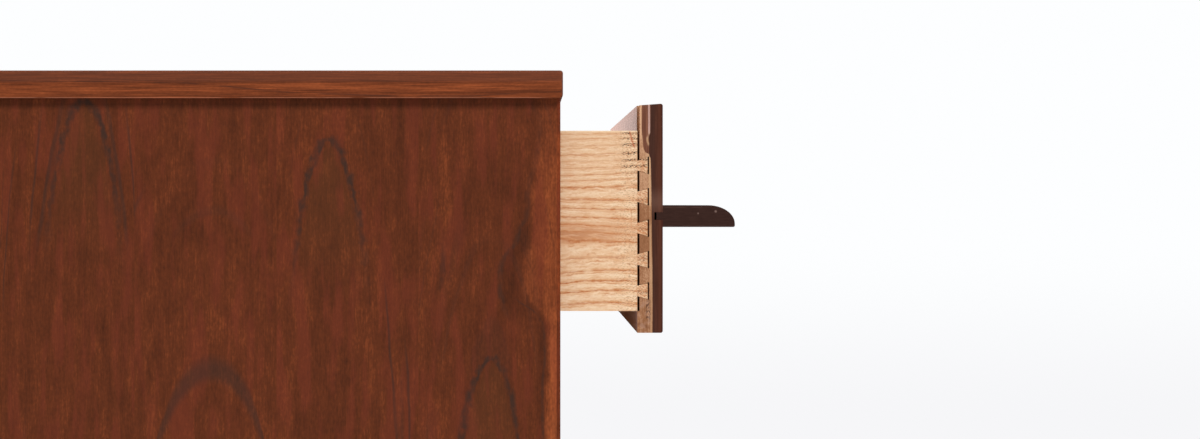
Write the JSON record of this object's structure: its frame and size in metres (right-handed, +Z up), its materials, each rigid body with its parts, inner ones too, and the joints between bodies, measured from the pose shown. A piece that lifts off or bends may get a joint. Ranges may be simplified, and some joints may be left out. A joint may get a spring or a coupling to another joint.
{
  "type": "highboy",
  "caption": "Tall walnut chest of full-width drawers with ledge pulls, dovetailed oak drawer boxes and a short leg frame; the top drawer stands pulled out.",
  "frame": {"origin": "on the floor, under the centre of the box that the piece takes up with its top drawer pulled out", "axes": "+Z up; the drawers pull out along -Y; +X is to the right of a person who faces the drawers"},
  "size_m": [0.926, 0.5982, 1.3111],
  "materials": {
    "walnut_case": "oiled walnut veneer",
    "walnut_top": "oiled walnut veneer",
    "walnut_edge": "oiled solid walnut",
    "walnut_front": "oiled solid walnut",
    "walnut_pull": "oiled solid walnut, dark end grain",
    "walnut_base": "oiled solid walnut",
    "oak": "clear-lacquered oak",
    "poplar": "sanded, unfinished",
    "plywood": "sanded plywood",
    "zinc_screw": "zinc plated",
    "nylon": "matt"
  },
  "bodies": {
    "case": {"top_panel": "walnut_top", "top_lipping_front": "walnut_edge", "top_lipping_left": "walnut_edge", "top_lipping_right": "walnut_edge", "case_side_left": "walnut_case", "case_side_right": "walnut_case", "side_edge_band_left": "walnut_edge", "side_edge_band_right": "walnut_edge", "front_rail_top": "poplar", "divider_rail_1": "poplar", "divider_rail_2": "poplar", "divider_rail_3": "poplar", "front_rail_bottom": "poplar", "rear_rails": "poplar", "frame_runners": "poplar", "dust_panels": "plywood", "centre_guides": "oak", "back_panel": "plywood", "back_staples": "zinc_screw", "frame_screws": "zinc_screw", "leg_front_left": "walnut_base", "leg_front_right": "walnut_base", "leg_back_left": "walnut_base", "leg_back_right": "walnut_base", "base_apron_front": "walnut_base", "base_apron_back": "walnut_base", "base_apron_left": "walnut_base", "base_apron_right": "walnut_base", "corner_blocks": "poplar", "floor_glides": "nylon"},
    "drawer_1": {"drawer_1_front": "walnut_front", "drawer_1_pull": "walnut_pull", "drawer_1_side_left": "oak", "drawer_1_side_right": "oak", "drawer_1_back": "oak", "drawer_1_bottom": "plywood", "drawer_1_channel": "oak"},
    "drawer_2": {"drawer_2_front": "walnut_front", "drawer_2_pull": "walnut_pull", "drawer_2_side_left": "oak", "drawer_2_side_right": "oak", "drawer_2_back": "oak", "drawer_2_bottom": "plywood", "drawer_2_channel": "oak"},
    "drawer_3": {"drawer_3_front": "walnut_front", "drawer_3_pull": "walnut_pull", "drawer_3_side_left": "oak", "drawer_3_side_right": "oak", "drawer_3_back": "oak", "drawer_3_bottom": "plywood", "drawer_3_channel": "oak"},
    "drawer_4": {"drawer_4_front": "walnut_front", "drawer_4_pull": "walnut_pull", "drawer_4_side_left": "oak", "drawer_4_side_right": "oak", "drawer_4_back": "oak", "drawer_4_bottom": "plywood", "drawer_4_channel": "oak"}
  },
  "joints": [
    {"name": "drawer_1_slide", "type": "slide", "parent": "case", "child": "drawer_1", "axis": [0, -1, 0], "range_m": [-0.083, 0.247]},
    {"name": "drawer_2_slide", "type": "slide", "parent": "case", "child": "drawer_2", "axis": [0, -1, 0], "range_m": [0, 0.33]},
    {"name": "drawer_3_slide", "type": "slide", "parent": "case", "child": "drawer_3", "axis": [0, -1, 0], "range_m": [0, 0.33]},
    {"name": "drawer_4_slide", "type": "slide", "parent": "case", "child": "drawer_4", "axis": [0, -1, 0], "range_m": [0, 0.33]}
  ]
}
